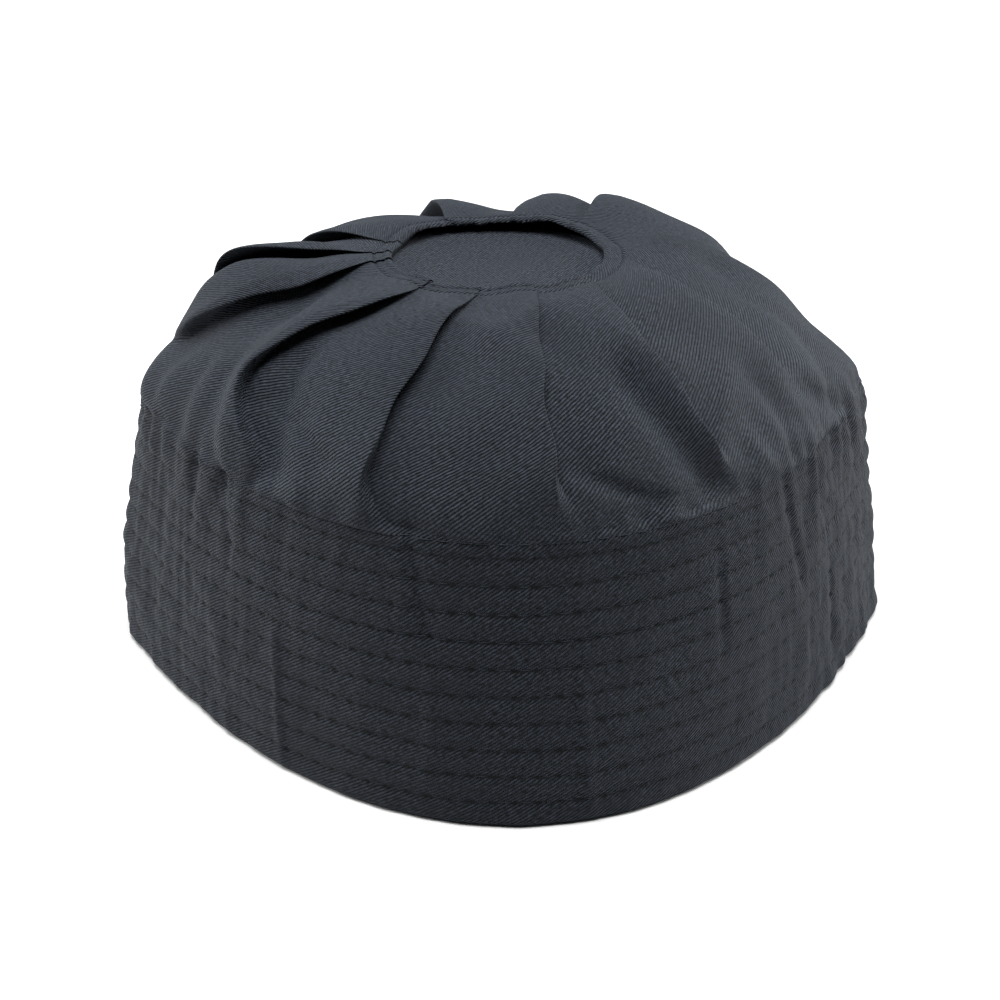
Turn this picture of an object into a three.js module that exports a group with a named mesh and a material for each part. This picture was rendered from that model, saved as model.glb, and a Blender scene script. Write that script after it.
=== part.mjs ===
// A soft round cap of dark cotton twill: a stiff band quilted with rows of stitching,
// a crown knife-pleated from the band up to a small opening, and a flat disc that closes it.
// Millimetres, +Z up. The cap rests on its rim at Z = 0, its front faces -Y, and the two
// creases where it was folded flat for storage lie on the X axis.

import * as THREE from 'three';

// Overall heights
const RIDGE_Z = 64; // top of the band, where the crown begins
const HEM_Z = 97.5; // the crown's hem round the disc

// Plan of the cap at two levels: a rounded diamond, drawn out at the side creases
const WAIST_ANGLE = 40; // degrees from the crease to the plan's shortest radius
const CREASE_POWER = 2.7; // how quickly the plan falls away from the crease
const CREASE_SOFT = 3; // degrees over which the crease itself is rounded
const RIM_PLAN = { side: 97.8, waist: 86.5, front: 93.9 };
const RIDGE_PLAN = { side: 88, waist: 79.6, front: 82.6 };

// Cloth
const BAND_WALL = 2.4; // outer cloth, stiffening and inner cloth, stitched together
const CROWN_WALL = 1.2;
const DISC_WALL = 1.2;
const CLEARANCE = 0.3; // between neighbouring pieces
const TUCK = 6; // how far the crown's lower edge reaches down inside the band
const TUCK_CLEARANCE = 0.5; // between that edge and the band's inner face

// Quilting of the band
const ROW_COUNT = 10; // evenly spaced rows, counted up from the rim
const ROW_PITCH = RIDGE_Z / (ROW_COUNT + 0.5); // one more row lies at the ridge, half a pitch higher
const ROW_DIP = 0.5; // how deep a row pulls the cloth in
const RIM_ROUND = 0.8; // the folded rim's rounding
const BAND_BOW = 1; // how far the band's wall swells out half way up

// Disc and hem
const HEM_RADIUS = 25.6; // the crown's inner edge
const HEM_WIDTH = 5;
const DISC_RADIUS = 29.6; // reaches under the hem
const DISC_TILT = 2.5; // degrees, front edge up
const DISC_CENTRE = new THREE.Vector3(-1.6, 1, 0);
const DISC_SAG = 0.8; // the disc's middle below its edge

// Mesh steps
const BAND_COLUMNS = 72;
const CROWN_ROWS = 13;
const DISC_COLUMNS = 40;
const DISC_RINGS = [0.4, 0.75]; // shares of the hem's radius

// Dome of the crown: 2 is an ellipse, smaller is closer to a cone
const DOME_POWER = 1.7;

// One row for each knife pleat, in degrees round the cap from +X towards +Y. ridge, middle
// and hem are the angles of its lip at the band, part way up and at the disc. The lip stands
// over the next panel by lip, the cloth behind it drops into a pocket, and below the share
// foot of the way up it has opened out.
const PLEATS = [
  { ridge: 172, middle: 194, hem: 187, lip: 3, pocket: 5, foot: 0.34 },
  { ridge: 220, middle: 214, hem: 230, lip: 3.2, pocket: 4.5, foot: 0.1 },
  { ridge: 243, middle: 249, hem: 258, lip: 1.8, pocket: 1, foot: 0.1 },
  { ridge: 278, middle: 275, hem: 283, lip: 1.2, pocket: 0.6, foot: 0.2 },
  { ridge: 308, middle: 302, hem: 312, lip: 2, pocket: 1.4, foot: 0.1 },
  { ridge: 334, middle: 333, hem: 350, lip: 1.6, pocket: 2, foot: 0.35 },
  { ridge: 366, middle: 371, hem: 372, lip: 1.4, pocket: 1.2, foot: 0.4 },
  { ridge: 414, middle: 411, hem: 400, lip: 2.2, pocket: 3, foot: 0.35 },
  { ridge: 436, middle: 438, hem: 440, lip: 2, pocket: 2, foot: 0.3 },
  { ridge: 464, middle: 466, hem: 473, lip: 3.2, pocket: 3, foot: 0.3 },
  { ridge: 498, middle: 504, hem: 511, lip: 2.2, pocket: 2, foot: 0.3 },
  { ridge: 512, middle: 521, hem: 530, lip: 2.2, pocket: 4, foot: 0.35 },
];
const MIDDLE_RISE = 0.6; // share of the way up at which a pleat's middle angle is given
const POCKET_END = 0.8; // share of the way up from which the pockets close towards the hem

// Columns across a pleat's panel, as shares of its width, from under one lip to the next lip
const PANEL_STEPS = [0.06, 0.2, 0.4, 0.6, 0.8, 0.93, 1];

// Broad swells of the crown: where they lie (degrees round, share of the way from the band to
// the hem), how far they spread, and how far they stand out (negative is a hollow)
const SWELLS = [
  { angle: 168, rise: 0.58, wide: 22, tall: 0.2, out: 6 },
  { angle: 124, rise: 0.75, wide: 22, tall: 0.3, out: 2.2 },
  { angle: 42, rise: 0.72, wide: 30, tall: 0.28, out: 5.5 },
  { angle: 10, rise: 0.28, wide: 18, tall: 0.2, out: -3 },
];

// Soft folds of the crown, each along a straight run of angle and rise (negative is a valley)
const FOLDS = [
  { angle: 293, rise: 0.65, angleTo: 300, riseTo: 0.16, wide: 4.5, out: -3 },
  { angle: 219, rise: 0.5, angleTo: 225, riseTo: 0.16, wide: 3.5, out: -2.2 },
  { angle: 227, rise: 0.34, angleTo: 235, riseTo: 0.26, wide: 4, out: -1.4 },
  { angle: 279, rise: 0.28, angleTo: 290, riseTo: 0.14, wide: 3.5, out: -1.5 },
  { angle: 334, rise: 0.28, angleTo: 339, riseTo: 0.15, wide: 4, out: -1.5 },
];
const FOLD_TAPER = 0.1; // share of the way up over which a soft fold's ends fade

const rad = THREE.MathUtils.degToRad;
const { lerp, clamp, smoothstep } = THREE.MathUtils;

// Distance from the axis to the plan's outline at an angle in degrees
function planRadius(plan, angle) {
  const half = ((angle % 180) + 180) % 180;
  const fromCrease = Math.min(half, 180 - half);
  if (fromCrease < WAIST_ANGLE) {
    const past = Math.hypot(fromCrease, CREASE_SOFT) - CREASE_SOFT;
    const full = Math.hypot(WAIST_ANGLE, CREASE_SOFT) - CREASE_SOFT;
    return plan.waist + (plan.side - plan.waist) * (1 - past / full) ** CREASE_POWER;
  }
  return lerp(plan.waist, plan.front, smoothstep(fromCrease, WAIST_ANGLE, 90));
}

// A plan between the rim's and the ridge's
function planAt(z) {
  const share = z / RIDGE_Z;
  return {
    side: lerp(RIM_PLAN.side, RIDGE_PLAN.side, share),
    waist: lerp(RIM_PLAN.waist, RIDGE_PLAN.waist, share),
    front: lerp(RIM_PLAN.front, RIDGE_PLAN.front, share),
  };
}

function polar(radius, angle, z) {
  return new THREE.Vector3(radius * Math.cos(rad(angle)), radius * Math.sin(rad(angle)), z);
}

// A closed body from rings of points, each joined to the next; cap rings close on their middles
function ringBody(rings, capped) {
  const columns = rings[0].length;
  const points = rings.flat();
  const faces = [];
  const bands = capped ? rings.length - 1 : rings.length;
  for (let i = 0; i < bands; i += 1) {
    const low = i * columns;
    const high = ((i + 1) % rings.length) * columns;
    for (let j = 0; j < columns; j += 1) {
      const next = (j + 1) % columns;
      faces.push(low + j, low + next, high + next);
      faces.push(low + j, high + next, high + j);
    }
  }
  if (capped) {
    const last = (rings.length - 1) * columns;
    const middle = (ring) => {
      return ring.reduce((sum, p) => sum.add(p), new THREE.Vector3()).divideScalar(columns);
    };
    points.push(middle(rings[0]), middle(rings[rings.length - 1]));
    for (let j = 0; j < columns; j += 1) {
      const next = (j + 1) % columns;
      faces.push(points.length - 2, next, j);
      faces.push(points.length - 1, last + j, last + next);
    }
  }
  const geometry = new THREE.BufferGeometry();
  const position = points.flatMap((p) => [p.x, p.y, p.z]);
  geometry.setAttribute('position', new THREE.Float32BufferAttribute(position, 3));
  geometry.setIndex(faces);
  geometry.computeVertexNormals();
  return geometry;
}

// The band: its outer face dips at each row of stitching, its inner face is plain
function bandGeometry() {
  const angles = Array.from({ length: BAND_COLUMNS }, (_, i) => (i * 360) / BAND_COLUMNS);
  const bow = (z) => (4 * BAND_BOW * z * (RIDGE_Z - z)) / RIDGE_Z ** 2;
  const ring = (z, inset) => angles.map((angle) => {
    return polar(planRadius(planAt(z), angle) + bow(z) - inset, angle, z);
  });
  const rings = [ring(0, RIM_ROUND)];
  for (let row = 0; row < ROW_COUNT; row += 1) {
    rings.push(ring((row + 0.5) * ROW_PITCH, 0));
    rings.push(ring((row + 1) * ROW_PITCH, ROW_DIP));
  }
  rings.push(ring(RIDGE_Z, ROW_DIP));
  rings.push(ring(RIDGE_Z, BAND_WALL));
  rings.push(ring(RIDGE_Z / 2, BAND_WALL));
  rings.push(ring(0, BAND_WALL));
  return ringBody(rings, false);
}

// A pleat's lip angle at a share of the way from the band to the hem, on a curve through
// its three given angles
function lipAngle(pleat, rise) {
  const low = pleat.ridge * (1 - rise) * (1 - rise / MIDDLE_RISE);
  const middle = (pleat.middle * rise * (1 - rise)) / (MIDDLE_RISE * (1 - MIDDLE_RISE));
  const high = (pleat.hem * rise * (rise - MIDDLE_RISE)) / (1 - MIDDLE_RISE);
  return low + middle + high;
}

// How far a pleat has closed at that share of the way up: 0 is open cloth, 1 a full lip
function closing(pleat, rise) {
  return smoothstep(rise, pleat.foot, (pleat.foot + MIDDLE_RISE) / 2);
}

// Depth of the pocket behind a lip, which closes again towards the hem
function pocketDepth(pleat, rise) {
  return pleat.pocket * closing(pleat, rise) * (1 - smoothstep(rise, POCKET_END, 1));
}

// Angle from one direction to another, between -180 and 180 degrees
function turnBetween(from, to) {
  return ((((to - from) % 360) + 540) % 360) - 180;
}

// How far the broad swells and soft folds push the crown out at an angle and rise
function swell(angle, rise) {
  const swells = SWELLS.map((s) => {
    const round = turnBetween(s.angle, angle) / s.wide;
    const up = (rise - s.rise) / s.tall;
    return s.out * Math.exp(-round * round - up * up);
  });
  const folds = FOLDS.map((f) => {
    const along = clamp((rise - f.rise) / (f.riseTo - f.rise), 0, 1);
    const round = turnBetween(lerp(f.angle, f.angleTo, along), angle) / f.wide;
    const past = (rise - lerp(f.rise, f.riseTo, along)) / FOLD_TAPER;
    return f.out * Math.exp(-round * round - past * past);
  });
  return [...swells, ...folds].reduce((sum, out) => sum + out, 0);
}

// Height of the tilted plane that the hem and the disc lie in, at a distance behind its middle
function hemPlane(behind) {
  return HEM_Z - behind * Math.tan(rad(DISC_TILT));
}

// A point on the crown's smooth dome, moved out along its slope by some millimetres
function domePoint(angle, rise, out) {
  const turn = (rise * Math.PI) / 2;
  const inward = Math.cos(turn) ** (2 / DOME_POWER);
  const upward = Math.sin(turn) ** (2 / DOME_POWER);
  const seam = HEM_RADIUS + HEM_WIDTH;
  const foot = planRadius(RIDGE_PLAN, angle);
  const top = hemPlane(seam * Math.sin(rad(angle)));
  const radius = lerp(seam, foot, inward) + out * Math.cos(turn);
  const z = lerp(RIDGE_Z + CLEARANCE, top, upward) + out * Math.sin(turn);
  return polar(radius, angle, z).addScaledVector(DISC_CENTRE, rise);
}

// A point of the hem or the disc, some millimetres above their plane
function hemPoint(radius, angle, above) {
  return polar(radius, angle, hemPlane(radius * Math.sin(rad(angle))) + above).add(DISC_CENTRE);
}

// Angle and pleat relief of every column of the crown at one rise
function crownColumns(rise) {
  return PLEATS.flatMap((pleat, i) => {
    const last = i + 1 === PLEATS.length;
    const next = PLEATS[last ? 0 : i + 1];
    const from = lipAngle(pleat, rise);
    const to = lipAngle(next, rise) + (last ? 360 : 0);
    const pocket = pocketDepth(pleat, rise);
    const lip = next.lip * closing(next, rise);
    return PANEL_STEPS.map((share) => ({
      angle: lerp(from, to, share),
      relief: lip * share ** 2 - pocket * (1 - share) ** 2,
    }));
  });
}

// The crown: tucked inside the band, stepping over its edge, then up the dome to the hem.
// Its inner face follows the pockets but not the lips, where the cloth lies folded on itself.
function crownGeometry() {
  const tuckInset = BAND_WALL + TUCK_CLEARANCE;
  const tucked = (z, inset) => crownColumns(0).map(({ angle }) => {
    return polar(planRadius(planAt(Math.min(z, RIDGE_Z)), angle) - inset, angle, z);
  });
  const rises = Array.from({ length: CROWN_ROWS }, (_, i) => i / (CROWN_ROWS - 1));
  const outer = (rise) => crownColumns(rise).map(({ angle, relief }) => {
    return domePoint(angle, rise, swell(angle, rise) + relief);
  });
  const inner = (rise) => crownColumns(rise).map(({ angle, relief }) => {
    return domePoint(angle, rise, swell(angle, rise) + Math.min(relief, 0) - CROWN_WALL);
  });
  const hem = (inside) => crownColumns(1).map(({ angle, relief }) => {
    return hemPoint(HEM_RADIUS, angle, inside ? -CROWN_WALL : relief);
  });
  return ringBody([
    tucked(RIDGE_Z - TUCK, tuckInset),
    tucked(RIDGE_Z + CLEARANCE, tuckInset),
    ...rises.map(outer),
    hem(false),
    hem(true),
    ...rises.slice(1).reverse().map(inner),
    tucked(RIDGE_Z + CLEARANCE + CROWN_WALL, tuckInset + CROWN_WALL),
    tucked(RIDGE_Z - TUCK, tuckInset + CROWN_WALL),
  ], false);
}

// The disc: a thin round of cloth whose edge lies under the crown's hem
function discGeometry() {
  const angles = Array.from({ length: DISC_COLUMNS }, (_, i) => (i * 360) / DISC_COLUMNS);
  const ring = (radius, depth) => angles.map((angle) => {
    return hemPoint(radius, angle, -CROWN_WALL - CLEARANCE - depth);
  });
  const sagged = (depth) => DISC_RINGS.map((share) => {
    return ring(HEM_RADIUS * share, DISC_SAG * (1 - share ** 2) + depth);
  });
  return ringBody([
    ...sagged(DISC_WALL),
    ring(DISC_RADIUS, DISC_WALL),
    ring(DISC_RADIUS, 0),
    ...sagged(0).reverse(),
  ], true);
}

const twill = (colour) => new THREE.MeshStandardMaterial({ color: colour, roughness: 0.9, metalness: 0 });

function piece(name, geometry, colour) {
  const mesh = new THREE.Mesh(geometry, twill(colour));
  mesh.name = name;
  return mesh;
}

const cap = new THREE.Group();
cap.add(piece('band', bandGeometry(), 0x1f2228));
cap.add(piece('crown', crownGeometry(), 0x23262c));
cap.add(piece('top_disc', discGeometry(), 0x25282e));

export default cap;
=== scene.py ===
"""Looks of a soft round cap of dark cotton twill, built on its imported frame: a quilted band,
a knife-pleated crown, a flat disc and their stitches, on a plain pale floor."""

import math

import bpy
import numpy as np
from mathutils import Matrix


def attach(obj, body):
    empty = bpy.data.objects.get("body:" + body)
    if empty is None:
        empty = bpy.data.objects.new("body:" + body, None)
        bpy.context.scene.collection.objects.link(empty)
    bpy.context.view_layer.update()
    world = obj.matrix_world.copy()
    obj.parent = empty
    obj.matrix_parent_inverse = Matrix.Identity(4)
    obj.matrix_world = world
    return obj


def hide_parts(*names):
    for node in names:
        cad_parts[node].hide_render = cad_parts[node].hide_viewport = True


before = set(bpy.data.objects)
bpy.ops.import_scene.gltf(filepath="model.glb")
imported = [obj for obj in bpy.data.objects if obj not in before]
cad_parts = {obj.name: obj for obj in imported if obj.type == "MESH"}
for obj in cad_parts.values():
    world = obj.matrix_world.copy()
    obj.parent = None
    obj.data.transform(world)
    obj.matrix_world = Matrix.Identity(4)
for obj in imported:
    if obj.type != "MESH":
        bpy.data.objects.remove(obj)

bl_info = {
    "name": "Quilted cap",
    "version": (1, 0, 0),
    "blender": (4, 5, 0),
    "location": "View3D > Sidebar > Cap",
    "description": "Builds a soft round cap with a quilted band and a pleated crown",
    "category": "Add Mesh",
}

MM = 0.001


def table(columns, *rows):
    """The rows of a table, each a dictionary under the names of its columns."""
    return [dict(zip(columns.split(), row)) for row in rows]


# Plan of the cap at the rim and at the ridge, in metres: a rounded diamond drawn out at the
# side creases. The angles are in degrees from a crease.
RIM_PLAN = {"side": 0.0978, "waist": 0.0865, "front": 0.0939}
RIDGE_PLAN = {"side": 0.088, "waist": 0.0796, "front": 0.0826}
WAIST_ANGLE = 40.0
CREASE_POWER = 2.7
CREASE_SOFT = 3.0

# Knife pleats. ridge to hem are the angles of a pleat's lip, in degrees round the cap from +X
# towards +Y, at the shares LIP_RISES of the way up. lip and pocket are in millimetres. Below
# the share foot of the way up a pleat has opened out.
LIP_RISES = {"ridge": 0.0, "low": 0.3, "middle": 0.55, "high": 0.8, "hem": 1.0}
PLEATS = table(
    "ridge low middle high hem lip pocket foot",
    (172, 177, 191, 196, 189, 2.5, 2.4, 0.26),
    (221, 216, 213, 226, 231, 2.4, 1.7, 0.0),
    (250, 245, 248, 252, 258, 2.1, 1.4, -0.06),
    (277, 275, 275, 278, 284, 2.4, 1.5, 0.06),
    (308, 304, 302, 304, 313, 2.2, 1.8, 0.1),
    (334, 332, 332, 335, 352, 1.8, 2.2, 0.3),
    (366, 363, 364, 372, 372, 1.6, 1.6, 0.35),
    (414, 412, 417, 413, 404, 2.0, 3.6, 0.35),
    (436, 437, 438, 439, 440, 2.0, 2.0, 0.3),
    (464, 465, 466, 468, 473, 2.2, 3.0, 0.3),
    (498, 501, 507, 513, 514, 1.9, 1.8, 0.5),
    (512, 522, 535, 538, 533, 2.2, 2.3, 0.47),
)
PLEAT_SET = 0.6  # a pleat has closed half way between its foot and this share of the way up
PLEAT_RUN = 0.2  # and no sooner than this far above its foot
PRESSED = 0.8  # how much of its lip's height a pleat loses where the hem holds it flat
PRESSED_FROM = 0.75  # share of the way up
POCKET_END = 0.8
UNDERLAY = 11 * MM  # how far a closed pleat's cloth runs back under its lip
UNDERLAY_SHARE = 0.8  # and its most, as a share of the panel before it
UNDERLAY_FROM = 0.2  # share of the way up from which it grows
FOLD_TURN = {"shut": 0.5, "open": 5.0}  # degrees that a fold takes round the cap
FOLD_DROP = (0.12, 0.88)  # where the cloth falls from lip to pocket, as shares of a fold

# Broad swells of the crown: degrees round, share of the way up, spread, millimetres out
SWELLS = table(
    "angle rise wide tall out",
    (175, 0.62, 16, 0.17, 8.2),
    (178, 0.33, 16, 0.14, -1.4),
    (124, 0.75, 22, 0.3, 2.2),
    (40, 0.7, 32, 0.28, 4.6),
    (64, 0.8, 12, 0.2, 1.8),
    (26, 0.54, 10, 0.12, 1.8),
    (10, 0.36, 18, 0.2, -3.0),
)

# Soft folds of the crown, each along a straight run of angle and share of the way up
FOLDS = table(
    "angle rise angle_to rise_to wide out",
    (294, 0.52, 301, 0.15, 4.0, -3.3),
    (219, 0.5, 225, 0.16, 3.5, -2.2),
    (227, 0.34, 235, 0.26, 4.0, -1.4),
    (279, 0.28, 290, 0.14, 3.5, -1.5),
    (334, 0.28, 339, 0.15, 4.0, -1.5),
    (212, 0.42, 216, 0.06, 3.0, 1.6),
    (205, 0.38, 209, 0.08, 3.0, -1.4),
    (197, 0.28, 199, 0.04, 2.4, -1.0),
    (190, 0.24, 191, 0.04, 2.2, 0.9),
    (347, 0.3, 343, 0.05, 2.5, -1.3),
    (339, 0.22, 337, 0.04, 2.2, 1.0),
    (323, 0.22, 321, 0.04, 2.0, -1.1),
    (313, 0.2, 316, 0.03, 2.2, 0.9),
)
FOLD_TAPER = 0.1
FOLD_FOOT = 0.09  # share of the way up below which the ridge holds the folds down

# Creases of the band: degrees and height (mm) of both ends, spread in degrees, millimetres out
CREASES = table(
    "angle top angle_to bottom wide out",
    (252, 64, 256, 40, 1.3, -0.9),
    (256, 40, 256, 10, 1.0, 0.35),
    (301, 54, 301, 30, 0.9, -0.6),
    (277, 34, 278, 4, 1.0, 0.4),
    (229, 34, 231, 2, 0.9, 0.6),
    (333, 30, 334, 10, 0.8, -0.7),
    (318, 62, 322, 34, 1.1, -0.7),
    (327, 64, 331, 40, 1.0, 0.6),
    (203, 62, 205, 30, 1.2, 0.7),
    (214, 64, 217, 46, 1.2, -0.8),
)
CREASE_TAPER = 5 * MM
RIDGE_TOP = 64  # a crease from this height runs on into the crown
CREASE_RISE = 0.1  # as far as this share of the way up

# Small gathers across the ridge at both sides: waves round the cap, phase, swing, millimetres out
GATHERS = table(
    "waves start swing out",
    (31, 0.4, 1.7, 0.45),
    (53, 2.1, 2.3, 0.36),
    (83, 4.0, 1.1, 0.22),
)
GATHER_BENDS = 7  # waves round the cap of their swing
GATHER_SPREAD = table("waves start size", (11, 1.0, 0.4), (23, 0.0, 0.3))
GATHER_FULL = 22.0  # degrees from a side crease up to which they are at their full height
GATHER_REACH = 66.0
GATHER_DROP = 26 * MM  # how far they run down the band, on the average
GATHER_RISE = 0.15  # and up the crown, as a share of the way up
RIDGE_DIP = 0.35  # the top row's groove, as a share of the other rows
RIDGE_FADE = 2.2 * MM
LAP = 0.12 * MM  # how far the crown's foot lies over the band's edge
FOOT_FADE = 0.05  # share of the way up over which the crown's foot leaves the top row's groove

# Small upright puckers just above the ridge, and a slight unevenness of the whole crown
PUCKERS = table("waves size", (23, 0.30), (37, 0.26), (58, 0.22), (83, 0.16))
PUCKER_FADE = {"rise": 0.10, "vary": 0.05, "waves": 5, "lean": 3, "foot": 0.03}
UNEVEN = table("waves tall size", (5, 4.0, 0.35), (8, 7.0, 0.3), (13, 9.0, 0.22))
UNEVEN_SWING = 1.5

# Short soft dents scattered over the crown, their half widths and lengths in millimetres
CRUMPLES = 130
CRUMPLE_OUT = 2.3 * MM  # from the deepest dent to the highest fold
CRUMPLE = {"narrow": 2.0, "wider": 4.0, "short": 6.0, "longer": 12.0, "lean": 2.0, "top": 0.9}
CRUMPLE_FOOT = 0.06
CROWN_CLIMB = 66 * MM  # way up the crown from the ridge to the hem
CROWN_TAPER = 0.65  # how much narrower the crown is at the hem

# Small swaying of the lips: degrees to either side and waves on the way up
LIP_SWAY = 0.45
LIP_WAVES = (2.0, 4.5)

# At the back the hem stands away from the disc
HEM_LIFT = 0.7 * MM
HEM_LIFT_ANGLE = 455.0
HEM_LIFT_WIDE = 38.0
HEM_LIFT_FROM = 0.75
FRAY = table("waves start", (29, 0), (47, 1), (83, 2))
FRAY_OUT = 0.28 * MM
FRAY_REACH = 0.6  # as a share of the hem's width

# Across the hem, as shares of its width from the inner edge out
HEM_STRIP = (0.92, 0.86, 0.8, 0.74, 0.66, 0.5, 0.36, 0.28, 0.2, 0.13, 0.06, 0.0)
HEM_ROLL = 0.55 * MM
ROLL_AT = 0.14
ROLL_WIDE = 0.15
HEM_GROOVE = 0.45 * MM
TOPSTITCH_AT = 0.8
GROOVE_WIDE = 0.09
HEM_TURN = table("share drop", (-0.06, 0.2), (-0.08, 0.45), (0.0, 0.75), (0.5, 0.9))
LIP_COVER = 0.4  # degrees beside a lip on which no topstitching shows
HEM_ROWS = table(
    "name at thick",
    ("hem_stitches_outer", TOPSTITCH_AT, 0.7),
    ("hem_stitches_inner", ROLL_AT + ROLL_WIDE, 0.9),
)

# The crown's lower edge inside the band: millimetres below the ridge and in from the wall
TUCK_INSET = 3.3
TUCK_BENDS = table("down inset", (1.0, 3.1), (0.5, 1.2))
TUCK_COUNT = len(TUCK_BENDS) + 1

# Quilting of the band: noise scales, and millimetres of pucker and dent
QUILT = {
    "puff_power": 0.55, "ring": 0.09, "upright": 0.3, "on_row": 0.4,
    "pucker_scale": 175.0, "pucker": 0.7, "pucker_sides": 2.0,
    "dent_scale": 60.0, "dent": 1.0, "dent_sides": 2.2,
}
QUILT_SIDES = (10.0, 62.0)  # degrees from a side crease over which the extra puckers fade
QUILT_HELD = (3.5 * MM, 0.3 * MM)  # below the ridge, where the crown's seam holds the band
RIM_TURN = {"tall": 0.0016, "inward": 0.0007}

# Small waves of the disc and the direction of its weave
DISC_WAVES = table("waves start size power", (3, 1.0, 1.0, 2), (7, 0.0, 0.6, 4))
DISC_WAVE = 0.25 * MM
DISC_GRAIN = [[0.88, -0.47], [0.47, 0.88]]

# A stitch: its tube, how it thins and dives at its ends, and the share of its length that shows
STITCH = {
    "sides": 6, "segments": 4, "taper": 0.65, "dive": 0.9, "least": 0.72, "most": 0.95,
    "hem": 0.8, "hem_length": 0.6, "raised": 0.3,
}
STITCH_AHEAD = 0.4  # degrees to the point that gives a stitch its direction
LAST_SHARE = 0.9999  # of the grid's columns, as the last one lies on the first

# Yarn of the twill: noise scales, gains and floors. The rib gain paints light on the ribs' crests
# and shade in the grooves between them; the blotches make that painted light and shade
# stronger in patches.
WEAVE = {
    "waver_scale": 420.0, "waver": 0.5, "yarn_run": 0.55, "blotch_scale": 55.0, "detail": 3.0,
    "rib_gain": 1.45, "rib_floor": 0.02, "yarn_gain": 2.2, "yarn_floor": -0.1,
    "blotch_gain": 1.4, "blotch_floor": 0.3, "darkest": 0.05, "yarn_height": 0.7, "bump": 0.9,
}
# Needle holes and the grooves of the rows, in metres, and how much painted shade darkens them
NEEDLE = {
    "spread_scale": 190.0, "spread_gain": 2.4, "spread_floor": -0.5, "least": 0.2,
    "oblong": 0.35, "core": 0.0001, "reach": 0.0012, "hole_shade_and_depth": 0.8,
    "groove": 0.0008, "groove_shade": 0.35,
}
SPECULAR = {"cloth": 0.11, "thread": 0.15}
SHEEN_ROUGHNESS = 0.45
SHEEN_TINT = (0.76, 0.87, 1.0, 1.0)
THREAD_ROUGHNESS = 0.6

# Soft boxes: where they hang, how large they are, how strong, all aimed at the cap
LIGHTS = table(
    "name at wide tall watts",
    ("top", (0.0, -0.04, 1.15), 1.1, 0.9, 36),
    ("right", (1.1, 0.35, 0.4), 0.9, 0.7, 16.5),
    ("left", (-1.1, 0.35, 0.4), 0.9, 0.7, 17),
)
AIM = (0.0, 0.0, 0.05)
WORLD_STRENGTH = 0.04
FLOOR = {"reach": 4.0, "grey": 0.62, "roughness": 0.9}

# The photo's camera: degrees down from level and round from the front, millimetres of lens
CAMERA = {"at": (-0.02839, -0.44510, 0.2575), "down": 26.734, "round": -3.505, "lens": 71.28}
CAMERA_SENSOR = 36.0
CAMERA_NEAR = 0.01

CROWN_ROWS = 92
FOLD_COLUMNS = 21
PANEL_COLUMNS = 33
BAND_COLUMNS = 720
BAND_ROWS = {"outer": 96, "inner": 6, "rim": 2}
DISC_RINGS = 26
DISC_COLUMNS = 96
SEED = 7


class CapSizes(bpy.types.PropertyGroup):
    """Sizes of the cap's pieces"""

    ridge_height: bpy.props.FloatProperty(
        name="Ridge height", description="Top of the band", default=0.064, unit="LENGTH"
    )
    band_wall: bpy.props.FloatProperty(
        name="Band wall", description="Thickness of the quilted band", default=0.0024, unit="LENGTH"
    )
    band_bow: bpy.props.FloatProperty(
        name="Band bow", description="How far the band swells out half way up", default=0.001,
        unit="LENGTH",
    )
    rows: bpy.props.IntProperty(
        name="Rows", description="Evenly spaced rows of quilting below the ridge", default=10
    )
    row_dip: bpy.props.FloatProperty(
        name="Row dip", description="How deep a row of stitching pulls in", default=0.0005,
        unit="LENGTH",
    )
    stitch: bpy.props.FloatProperty(
        name="Stitch", description="Length of one stitch", default=0.0045, unit="LENGTH"
    )
    thread: bpy.props.FloatProperty(
        name="Thread", description="Thickness of the thread", default=0.00026, unit="LENGTH"
    )
    hem_height: bpy.props.FloatProperty(
        name="Hem height", description="Height of the hem round the disc", default=0.0975,
        unit="LENGTH",
    )
    hem_radius: bpy.props.FloatProperty(
        name="Hem radius", description="Inner edge of the crown", default=0.0256, unit="LENGTH"
    )
    hem_width: bpy.props.FloatProperty(
        name="Hem width", description="From the hem's edge to its topstitching", default=0.005,
        unit="LENGTH",
    )
    tuck: bpy.props.FloatProperty(
        name="Tuck", description="How far the crown reaches down inside the band", default=0.006,
        unit="LENGTH",
    )
    disc_radius: bpy.props.FloatProperty(
        name="Disc radius", description="Edge of the disc, under the hem", default=0.0296,
        unit="LENGTH",
    )
    disc_drop: bpy.props.FloatProperty(
        name="Disc drop", description="The disc below the hem", default=0.0015, unit="LENGTH"
    )
    disc_sag: bpy.props.FloatProperty(
        name="Disc sag", description="The disc's middle below its edge", default=0.0008,
        unit="LENGTH",
    )
    disc_tilt: bpy.props.FloatProperty(
        name="Disc tilt", description="Slope of the disc, front edge up", default=math.radians(2.5),
        subtype="ANGLE",
    )
    disc_centre: bpy.props.FloatVectorProperty(
        name="Disc centre", description="Middle of the disc in plan", default=(-0.0016, 0.001),
        size=2, subtype="TRANSLATION",
    )
    dome_power: bpy.props.FloatProperty(
        name="Dome power", description="2 is an ellipse, less is closer to a cone", default=1.7
    )


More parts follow.
